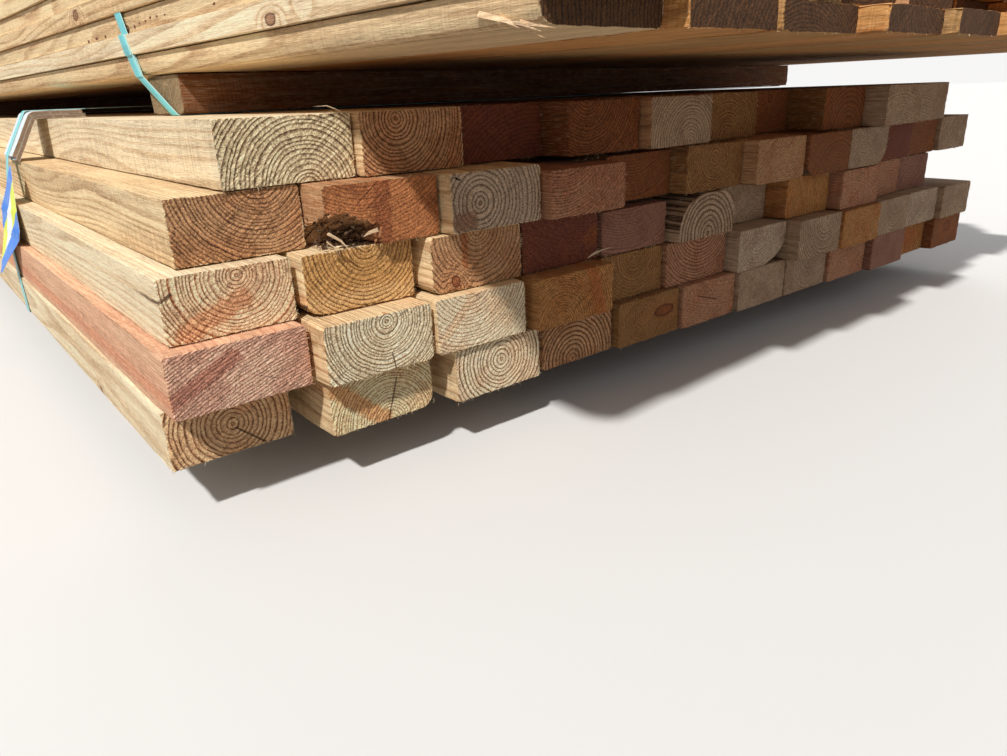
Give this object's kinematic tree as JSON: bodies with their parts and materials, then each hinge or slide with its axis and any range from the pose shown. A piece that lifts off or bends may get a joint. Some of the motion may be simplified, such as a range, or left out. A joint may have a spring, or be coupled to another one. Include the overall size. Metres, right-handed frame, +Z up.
{
  "type": "stack of lumber",
  "caption": "Stack of rough-sawn lumber: a strapped pack of thick boards on bearers, with a strapped pack of thin boards askew on top, kept apart by bolsters.",
  "frame": {"origin": "middle of the footprint, on the ground under the bearers", "axes": "+Y along the boards from the near ends to the far ends, +X across the boards to the right, +Z up"},
  "size_m": [1.4438, 3.34, 0.5568],
  "materials": {
    "lower_boards": "rough-sawn softwood, ends cross-cut",
    "upper_boards": "rough-sawn softwood",
    "dunnage": "rough-sawn softwood, dusty",
    "strapping": "embossed polyester strap",
    "paperboard": "laminated paperboard",
    "tag_card": "coated card"
  },
  "bodies": {
    "root": {"lower_course_1": "lower_boards", "lower_course_2": "lower_boards", "lower_course_3": "lower_boards", "lower_course_4": "lower_boards", "lower_course_5": "lower_boards", "upper_course_1": "upper_boards", "upper_course_2": "upper_boards", "upper_course_3": "upper_boards", "upper_course_4": "upper_boards", "upper_course_5": "upper_boards", "upper_course_6": "upper_boards", "upper_course_7": "upper_boards", "upper_course_8": "upper_boards", "upper_course_9": "upper_boards", "upper_course_10": "upper_boards", "bearer_front": "dunnage", "bearer_rear": "dunnage", "bolster_front": "dunnage", "bolster_rear": "dunnage", "lower_strap_front": "strapping", "upper_strap_front": "strapping", "corner_protector_front_left": "paperboard", "corner_protector_front_right": "paperboard", "lower_strap_rear": "strapping", "upper_strap_rear": "strapping", "corner_protector_rear_left": "paperboard", "corner_protector_rear_right": "paperboard", "tag": "tag_card"}
  },
  "joints": []
}
